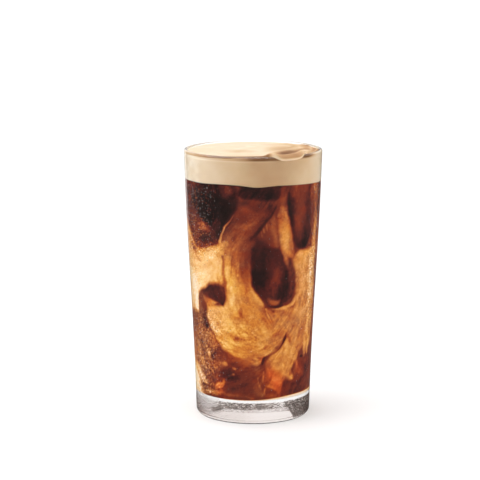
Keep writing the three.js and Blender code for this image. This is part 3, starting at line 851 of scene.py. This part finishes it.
def spots(places, u, h):
    """The sum of round soft spots, each given by angle, height, spread and amount."""
    return sum(
        more * np.exp(-((u - centre * MM_PER_DEGREE) ** 2 + (h - height) ** 2) / spread ** 2)
        for centre, height, spread, more in places
    )


def painted(u, h, spot):
    """The layers at a place across and up: cream, clearness, way of flow, how marbled, and red glow."""
    way = streak_way(u, h)
    amber = COFFEE_CLEAR + spots(CLEARINGS, u, h)
    glow = spots(GLOWS, u, h)
    for amount, size, seed in WARPS:
        u = u + amount * cloud(spot, size, seed)
        h = h + amount * cloud(spot, size, seed + 50)
    cream = np.full(h.shape, COFFEE)
    for soft, nodes in LAYERS:
        lay(cream, u, h, soft, nodes)
    aside = (u - MARBLED_MIDDLE[0]) / MARBLED_SPREAD[0]
    aloft = (h - MARBLED_MIDDLE[1]) / MARBLED_SPREAD[1]
    return cream, amber, way, np.exp(-(aside ** 2) - aloft ** 2), glow


def laid_all_round(angle, z, spot):
    """The layers in front, and behind a second time, half a turn on and folded over by a slow warp.

    The front grows wavy towards the sides, and the two blend where a cloudy edge divides them.
    """
    wavy = smoothstep(76, 100, np.abs(angle))
    across = angle * MM_PER_DEGREE + 15 * wavy * cloud(spot, 15, 14)
    front = painted(across, z + 16 * wavy * cloud(spot, 21, 15), spot)
    across = (angle - np.sign(angle) * 180) * MM_PER_DEGREE + 11 * cloud(spot, 34, 11)
    back = painted(across, z + 14 * cloud(spot, 34, 12), spot)
    behind = smoothstep(94, 106, np.abs(angle) - 10 * (1 + cloud(spot, 16, 13)))
    cream, amber, marbled, glow = (front[i] + (back[i] - front[i]) * behind for i in (0, 1, 3, 4))
    return cream, amber, np.where(behind[..., None] < 0.5, front[2], back[2]), marbled, glow


def swirl(rings):
    """Cream, clearness, red glow, and grain and painted glints over the drink: the layers, then streaks,
    veins and flecks.
    """
    angle = np.broadcast_to(drink_angles(), rings.shape[:2])
    z = rings[..., 2]
    spot = round_axis(PAINT_RADIUS, z, angle)
    cream, amber, way, marbled, glow = laid_all_round(angle, z, spot)
    broad = drawn_out(angle, z, way, 3.2, 8, 4)
    streaks = 0.55 * drawn_out(angle, z, way, 1.3, 4.5, 5) + 0.45 * drawn_out(angle, z, way, 0.8, 3, 7)
    veins = np.maximum(1 - np.abs(drawn_out(angle, z, way, 3.6, 6, 41)) / 0.16, 0)
    # Streaks show little in black coffee, most in half cream, and less again where it is nearly white
    lively = 0.32 + 0.68 * smoothstep(0.30, 0.52, cream)
    lively *= 1 - 0.55 * smoothstep(0.70, 0.84, cream)
    patches = smoothstep(-0.7, 0.6, cloud(spot, 9, 31))
    flecks = cloud(spot, 1.5, 21)
    flecks = np.maximum(flecks - 0.3, 0) - np.maximum(-flecks - 0.4, 0)
    fine = cloud(spot, 0.9, 22)
    cream += lively * (0.06 * broad + 0.12 * streaks * patches + 0.11 * flecks + 0.03 * fine)
    cream += lively * veins * (0.09 - 0.22 * smoothstep(-0.35, 0.35, cloud(spot, 7, 32)))
    worms = np.maximum(1 - np.abs(cloud(spot, 1.9, 42) + 0.5 * cloud(spot, 0.95, 43)) / 0.3, 0)
    cream += lively * marbled * (0.05 - 0.15 * worms)
    mist = misted(angle, z)
    # Painted highlights of the drops, low on the drink: bright grains, the drink a little darker between them
    wet = 0.28 * np.maximum(cloud(spot, 1.3, 44) - 0.05, 0) - 0.06
    cream += mist * (1 - smoothstep(58, 72, z)) * wet
    # How strongly fine grain and painted drop highlights show: a little everywhere, most where misted
    grain = 0.06 + 0.94 * mist
    amber += 0.25 * cloud(spot, 5, 23) + 0.2 * cloud(spot, 2.2, 26)
    # Painted light: the lowest rows painted paler, as if lit by the bright base, higher towards the right
    lit = 1 - smoothstep(-0.4, 0.4, z - FLOOR - 0.4 - 2.0 * smoothstep(-10, 55, angle))
    cream += (1 - cream) * lit * hump(angle, 30, 70, 6)
    under = np.hypot(rings[..., 0], rings[..., 1]) < CORNER_CENTRE + 0.5
    cream = np.where(under, 0.1, np.clip(cream, 0.02, 1))
    amber = np.where(under, 0, np.clip(amber * (1 - lit), 0, 1))
    return cream, amber, np.clip(glow * (1 - lit), 0, 1), grain


# The foam

def seat(travel):
    """A point run so far up inside the wall, over the bead and down, and its turn round the bead."""
    z = SEAT_START + travel
    turn = np.clip((z - BEAD_HEIGHT) / (BEAD_RADIUS + GAP), 0, np.pi)
    drop = np.maximum(z - BEAD_HEIGHT - np.pi * (BEAD_RADIUS + GAP), 0)
    radius = BEAD_RADIUS - INTO_WALL
    on_bead = turn > 0
    r = np.where(on_bead, BEAD_CENTRE - radius * np.cos(turn), inner_radius(z) + INTO_WALL)
    return r, np.where(on_bead, BEAD_HEIGHT + radius * np.sin(turn) - drop, z), turn


def edge_travel(angle):
    """How far the foam's edge has run: an even amount, a little more in front and far more at the lip."""
    return EDGE_TRAVEL + sum(more * hump(angle, *place) for more, *place in TRAVELS)


def rolled_edge(angle, share):
    """The edge rolls from the seat's heading back towards the axis, along a circle, by a share of it."""
    r, z, turn = seat(edge_travel(angle))
    roll = EDGE_RADIUS + (GAP + INTO_WALL) / 2
    heading = np.pi / 2 - turn
    turned = (np.pi / 2 + EDGE_TURN * turn) * share
    r = r - roll * np.sin(heading) + roll * np.sin(heading + turned)
    z = z + roll * np.cos(heading) - roll * np.cos(heading + turned)
    return r, z, heading + turned


# Folds of the foam's top, seen from above: nodes as x, y, half width and rise
FOLDS = (
    [(10, -33, 2.5, -0.3), (15, -28, 3.2, -1.1), (20, -19, 3.6, -1.9), (24, -8, 3.2, -1.7),
     (26, 1, 2.6, -1.0)],
    [(22, 8, 1.5, 0.6), (27, 10, 2.2, 1.7), (31, 7, 2.2, 1.8), (33.5, -2, 2.0, 1.4),
     (34.5, -9, 1.6, 0.5)],
    [(22, -34, 1.8, 0.0), (27, -28, 2.0, 0.2), (30, -21, 2.0, 0.5), (31, -13, 1.8, 0.5),
     (30, -6, 1.6, 0.2)],
    [(-8, 0, 7.0, -0.4), (0, 2, 7.0, -0.4)],
    [(14, -12, 6.0, -0.3), (18, -1, 7.0, -0.6), (20, 9, 5.0, -0.4)],
)
# Painted shade on the top, in its hollows and beside its folds: nodes as x, y, half width and shade
SOAKED = (
    [(8, -33, 1.5, 0.3), (12, -27, 3.5, 0.7), (16, -19, 5.5, 0.95), (20, -11, 6.5, 1.0),
     (24, -4, 6.0, 0.97), (28, 1, 4.5, 0.9), (31, -3, 3.0, 0.85), (32.5, -9, 2.5, 0.75)],
    [(10, -14, 5.0, 0.35), (16, -2, 9.0, 0.7), (21, 9, 8.0, 0.65)],
    [(12, 20, 8.0, 0.35), (22, 26, 7.0, 0.5)],
    [(-14, -10, 6.0, 0.26), (-8, -13, 8.0, 0.42), (-3, -15, 6.0, 0.3)],
    [(17, 21, 4.0, 0.5), (23, 21, 4.5, 0.75), (27, 17, 4.5, 0.85), (30, 10, 4.0, 0.85),
     (33, 2, 4.0, 0.9)],
    [(10, -34, 2.5, 0.6), (14, -31, 3.5, 0.85), (19, -27, 4.0, 0.95), (24, -22, 4.0, 0.95),
     (28, -15, 3.5, 0.9)],
    [(13, -27, 4.0, 0.85), (17.5, -23, 4.5, 0.98), (22, -17, 4.5, 0.98), (26, -10, 4.0, 0.95)],
    [(31, -24, 3.0, 0.7), (33.5, -17, 3.5, 0.85), (35.5, -8, 4.0, 0.85), (36, 3, 3.0, 0.8)],
)


def fold(nodes, x, y):
    """The rise or fall of one fold: a bell across a smooth curve."""
    away, carried = nearest(along(nodes, 6), x, y)
    return carried[..., 1] * np.exp(-((away / carried[..., 0]) ** 2))


def folds(angle, r):
    """The rise of all the folds at an angle and a radius."""
    x, y, _ = np.moveaxis(round_axis(r, 0.0, angle), -1, 0)
    return sum(fold(nodes, x, y) for nodes in FOLDS)


def top_height(angle, r):
    """A low crown with two slow waves across it."""
    share = r / SHOULDER_RADIUS
    a = np.radians(angle)
    wave = WAVE * share * (np.sin(a + 1) + np.sin(2 * a - 0.5) * share)
    return FOAM_LEVEL + CROWN * (1 - share ** 2) + wave


def shoulder(angle, share):
    """From the rolled edge to the top along a cubic curve."""
    r, z, heading = rolled_edge(angle, 1)
    top = top_height(angle, SHOULDER_RADIUS)
    pull = np.hypot(r - SHOULDER_RADIUS, z - top) * SHOULDER_PULL
    weights = ((1 - share) ** 3, 3 * share * (1 - share) ** 2, 3 * share ** 2 * (1 - share), share ** 3)
    rs = (r, r + pull * np.cos(heading), SHOULDER_RADIUS + pull, SHOULDER_RADIUS)
    zs = (z, z + pull * np.sin(heading), top, top)
    r = sum(w * x for w, x in zip(weights, rs))
    z = sum(w * x for w, x in zip(weights, zs))
    return r, z + folds(angle, r) * smoothstep(0, 0.3, share)


# The foam's rows, part by part, and the rows where its rolled edge and its top begin
FOAM_COLUMNS = 320
UNDER_SHARES = (0, 0.5, 0.9)
WALL_STEPS = 24
SEAT_STEPS = 24
EDGE_STEPS = 14
SHOULDER_STEPS = 30
TOP_STEPS = 40
EDGE_ROW = len(UNDER_SHARES) + WALL_STEPS + SEAT_STEPS
SHOULDER_ROW = EDGE_ROW + EDGE_STEPS


def shares(count):
    """Even shares from just after 0 up to 1."""
    return np.linspace(0, 1, count + 1)[1:]


def foam_rings():
    """The underside, the band against the glass, the rolled edge, the shoulder and the top."""
    angle = all_round(FOAM_COLUMNS)
    edge = edge_travel(angle)
    under = inner_radius(DRINK_LEVEL)
    rows = [(share * under + 0 * angle, level_height(angle, share)) for share in UNDER_SHARES]
    for t in np.linspace(0, 1, WALL_STEPS):
        z = level_height(angle, 1) * (1 - t) + SEAT_START * t
        rows.append((inner_radius(z) + INTO_WALL, z))
    rows += [seat(edge * t)[:2] for t in shares(SEAT_STEPS)]
    rows += [rolled_edge(angle, t)[:2] for t in shares(EDGE_STEPS)]
    rows += [shoulder(angle, t) for t in shares(SHOULDER_STEPS)]
    for r in np.linspace(SHOULDER_RADIUS, 0, TOP_STEPS + 1)[1:]:
        rows.append((r + 0 * angle, top_height(angle, r) + folds(angle, r)))
    radius, z = (np.stack(values) for values in zip(*rows))
    return round_axis(radius, z, angle)


def foam_stain(rings):
    """Painted shade on the foam: in the band in front, along the edge by the lip, and in the hollow."""
    angle = np.broadcast_to(all_round(rings.shape[1]), rings.shape[:2])
    row = np.arange(len(rings))[:, None]
    x, y, z = np.moveaxis(rings, -1, 0)
    # Painted shade in the band: in front and behind, at the right edge, by the lip's end and under the rim
    front_and_back = np.maximum(hump(angle, 12, 42), hump(angle, -170, 50))
    right_side = 0.7 * hump(angle, 95, 10)
    lip_end = 0.9 * hump(angle, 52, 9) * smoothstep(HEIGHT - 3, HEIGHT - 1, z)
    under_rim = 0.34 * hump(angle, 6, 30) * smoothstep(HEIGHT - 2.8, HEIGHT - 2.2, z)
    # A painted highlight: the band made paler in a thin line under the rim
    pale_line = 0.15 * hump(angle, -20, 50) * np.exp(-(((z - HEIGHT + 2.9) / 0.4) ** 2))
    band = 0.02 + 0.67 * front_and_back + 0.1 * hump(angle, 56, 15)
    band += right_side + lip_end
    band += under_rim
    band -= pale_line
    # Painted shade along the rolled edge, left and right of the lip, seen as a dark line above the rim
    left_of_lip = 0.97 * smoothstep(-105, -30, angle) * (1 - smoothstep(12, 18, angle))
    right_of_lip = 0.9 * hump(angle, 72, 28, 6)
    rim_line = np.maximum.reduce([left_of_lip, right_of_lip, 0.3 * hump(angle, 31, 20, 4)])
    edge = rim_line * (1 - smoothstep(SHOULDER_ROW - 4, SHOULDER_ROW + 8 * hump(angle, 5, 30), row))
    # Painted shade on the front of the top
    front_of_top = 0.25 * hump(angle, -12, 24, 4) * smoothstep(20, 32, np.hypot(x, y))
    edge = np.maximum(edge, front_of_top)
    # Painted shade on the lip and just behind it
    lip = 0.85 * hump(angle, 31, 16, 4) * smoothstep(EDGE_ROW + 8, EDGE_ROW + 13, row)
    edge = np.maximum(edge, lip * (1 - smoothstep(SHOULDER_ROW + 20, SHOULDER_ROW + 30, row)))
    # Painted shade of the top's hollows and folds, over the clean foam's 0.1
    top = np.maximum.reduce([fold(nodes, x, y) for nodes in SOAKED] + [np.full(x.shape, 0.1)])
    stain = np.where(row < EDGE_ROW, band, np.maximum(edge, np.where(row < SHOULDER_ROW, 0.1, top)))
    return np.clip(stain + 0.05 * cloud(rings, 9, 61) + 0.03 * cloud(rings, 3, 62), 0, 1)


# Condensation

def drop_template(rings, sides):
    """A flat-bottomed dome of unit radius: rings of points on half a ball, with a fan above and below."""
    lift = np.radians(np.linspace(0, 90, rings, endpoint=False))
    around = np.linspace(0, 2 * np.pi, sides, endpoint=False)
    flat, rise = np.cos(lift)[:, None], np.sin(lift)[:, None]
    grid = np.stack(np.broadcast_arrays(flat * np.cos(around), flat * np.sin(around), rise), -1)
    points = np.concatenate([[[0, 0, 0]], grid.reshape(-1, 3), [[0, 0, 1]]])
    first = np.arange(sides)
    second = (first + 1) % sides
    faces = [np.stack([np.zeros(sides, int), 1 + second, 1 + first], -1)]
    for k in range(rings - 1):
        low, high = 1 + k * sides, 1 + (k + 1) * sides
        faces.append(np.stack([low + first, low + second, high + second], -1))
        faces.append(np.stack([low + first, high + second, high + first], -1))
    high = 1 + (rings - 1) * sides
    faces.append(np.stack([high + first, high + second, np.full(sides, len(points) - 1)], -1))
    return points, np.concatenate(faces)


DROPS = 6500
TRIES_PER_DROP = 8
DROP_SEED = 11
DROP_HEIGHTS = (18, 138)
DROP_RADIUS_LEAST = 0.11
DROP_RADIUS_MORE = 0.24
DROP_TALLER = 1.1  # its height for its width
DROP_FLATNESS = 0.6  # how far it stands out for its radius
DROP_SUNK = 0.02  # into the glass


def condensation():
    """Drops of water on the outside, drawn at random where it is misted, small ones far more often."""
    draw = np.random.default_rng(DROP_SEED)
    tries = TRIES_PER_DROP * DROPS
    angle = draw.uniform(-180, 180, tries)
    z = draw.uniform(*DROP_HEIGHTS, tries)
    keep = np.flatnonzero(draw.uniform(0, 1, tries) < misted(angle, z))[:DROPS]
    angle, z = angle[keep], z[keep]
    radius = DROP_RADIUS_LEAST + DROP_RADIUS_MORE * draw.uniform(0, 1, len(z)) ** 3
    points, faces = drop_template(rings=2, sides=6)
    a = np.radians(angle)
    out = np.stack([np.sin(a), -np.cos(a), 0 * a], -1)
    across = np.stack([np.cos(a), np.sin(a), 0 * a], -1)
    up = np.array([0, 0, DROP_TALLER])
    centre = round_axis(outer_radius(z) - DROP_SUNK, z, angle)
    dome = points[None, :, :1] * across[:, None] + points[None, :, 1:2] * up
    dome = dome + points[None, :, 2:] * DROP_FLATNESS * out[:, None]
    beads = centre[:, None] + radius[:, None, None] * dome
    corners = (faces[None] + len(points) * np.arange(len(z))[:, None, None]).ravel()
    sizes = np.full(len(corners) // 3, 3)
    return make_mesh("condensation", beads.reshape(-1, 3), corners, sizes, condensed_water())


# Pieces

rings = glass_rings()
rough, speckled, shaded = glass_foot(rings)
glass = ring_piece(
    "glass_tumbler", rings, soda_lime_glass(), stipple=rough, speckled=speckled, shaded=shaded)
rings = drink_rings()
cream, amber, glow, grain = swirl(rings)
drink = ring_piece(
    "coffee_swirl", rings, coffee_with_cream(), cream=cream, amber=amber, glow=glow, grain=grain)
rings = foam_rings()
foam = ring_piece("foam_cap", rings, cold_milk_foam(), stain=foam_stain(rings))
beads = condensation()

for piece, replaced, slot in (
    (glass, "glass", "clear_glass"), (drink, "coffee", "coffee_and_cream"), (foam, "foam", "cold_foam"),
):
    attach(piece, "root")
    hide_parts(replaced)
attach(beads, "root")

# Lamps shine on the drink as if glass and water weren't there, so only what is seen through them bends
for clear in (glass, beads):
    clear.visible_shadow = False
    clear.visible_diffuse = False


# Stage, light and camera

def softbox(name, place, aim, size, watts, glossy):
    """A square lamp at a place, turned to face a point."""
    data = bpy.data.lights.new(name, "AREA")
    data.size = size
    data.energy = watts
    lamp = bpy.data.objects.new(name, data)
    bpy.context.collection.objects.link(lamp)
    lamp.location = place
    lamp.rotation_euler = (Vector(aim) - Vector(place)).to_track_quat("-Z", "Y").to_euler()
    lamp.visible_glossy = glossy
    return lamp


DIM = 0.08
BRIGHT_STRIP = (-0.342, 0.94, 0)  # the way towards a white strip behind the object, to the left


def white_surroundings():
    """White to the eye and in a strip behind to the left, dim all round, so the glass mirrors little."""
    world = bpy.data.worlds.new("white_surroundings")
    world.use_nodes = True
    tree = world.node_tree
    tree.nodes.clear()
    way = node(tree, "TexCoord").outputs["Generated"]
    beside = node(tree, "VectorMath", {0: way, 1: BRIGHT_STRIP}, operation="DOT_PRODUCT")
    strip = node(tree, "MapRange", {
        "Value": beside.outputs["Value"],
        "From Min": 0.975, "From Max": 0.99, "To Min": DIM, "To Max": 1.0})
    apart = node(tree, "SeparateXYZ", {"Vector": way}).outputs
    behind = node(tree, "MapRange", {
        "Value": apart["Y"], "From Min": -0.2, "From Max": 0.6, "To Min": 0.75, "To Max": 1.0})
    ray = node(tree, "LightPath").outputs
    through = node(tree, "Math", {
        0: behind.outputs["Result"], 1: ray["Is Transmission Ray"]}, operation="MULTIPLY")
    above = node(tree, "MapRange", {
        "Value": apart["Z"], "From Min": 0.0, "From Max": 0.15, "To Min": 0.0, "To Max": 0.9})
    mirrored = node(tree, "Math", {
        0: above.outputs["Result"], 1: ray["Is Glossy Ray"]}, operation="MULTIPLY")
    through = node(tree, "Math", {
        0: through.outputs["Value"], 1: mirrored.outputs["Value"]}, operation="MAXIMUM")
    seen = node(tree, "Math", {0: through.outputs["Value"], 1: ray["Is Camera Ray"]}, operation="MAXIMUM")
    strength = node(tree, "Math", {
        0: seen.outputs["Value"], 1: strip.outputs["Result"]}, operation="MAXIMUM")
    tint = node(tree, "MixRGB", {
        "Fac": ray["Is Transmission Ray"], "Color1": linear("ffffff"), "Color2": linear("fff5f1")})
    light = node(tree, "Background", {
        "Color": tint.outputs["Color"], "Strength": strength.outputs["Value"]})
    node(tree, "OutputWorld", {"Surface": light.outputs["Background"]})
    bpy.context.scene.world = world


OVERHEAD_TILT = 13.0
OVERHEAD_WIDTH = 90.0
OVERHEAD_STRENGTH = 3.45


def overhead_light():
    """One even, very soft lamp overhead, tilted from upright towards the left."""
    data = bpy.data.lights.new("overhead", "SUN")
    data.energy = OVERHEAD_STRENGTH
    data.angle = math.radians(OVERHEAD_WIDTH)
    lamp = bpy.data.objects.new("overhead", data)
    bpy.context.collection.objects.link(lamp)
    lamp.rotation_euler = (0, -math.radians(OVERHEAD_TILT), 0)


FLOOR_SIZE = 12.0
bpy.ops.mesh.primitive_plane_add(size=FLOOR_SIZE)
floor = bpy.context.object
floor.name = "floor"
floor.data.materials.append(white_paper())
floor.visible_glossy = False

white_surroundings()
overhead_light()
GLASS_MIDDLE = (0, 0, 0.08)
SOFTBOX_SIZE = 0.9
softbox("left_softbox", (-1.2, -0.5, 0.6), GLASS_MIDDLE, SOFTBOX_SIZE, watts=5, glossy=True)
softbox("right_softbox", (1.3, -0.25, 0.4), GLASS_MIDDLE, SOFTBOX_SIZE, watts=8, glossy=False)

# The photograph's view: a long lens, a little above the rim
FRAME_PIXELS = 480
FOCAL_PIXELS = 2056.8
SENSOR = 36.0
EYE = (-7.6, -1184.4, 307.7)  # where the camera stands
PITCH = 9.81  # how far it looks down
camera = bpy.data.objects.new("camera", bpy.data.cameras.new("camera"))
bpy.context.collection.objects.link(camera)
camera.data.sensor_width = SENSOR
camera.data.lens = SENSOR * FOCAL_PIXELS / FRAME_PIXELS
camera.location = [at * MM for at in EYE]
camera.rotation_euler = (math.radians(90 - PITCH), 0, 0)
bpy.context.scene.camera = camera
bpy.context.scene.view_settings.view_transform = "Standard"
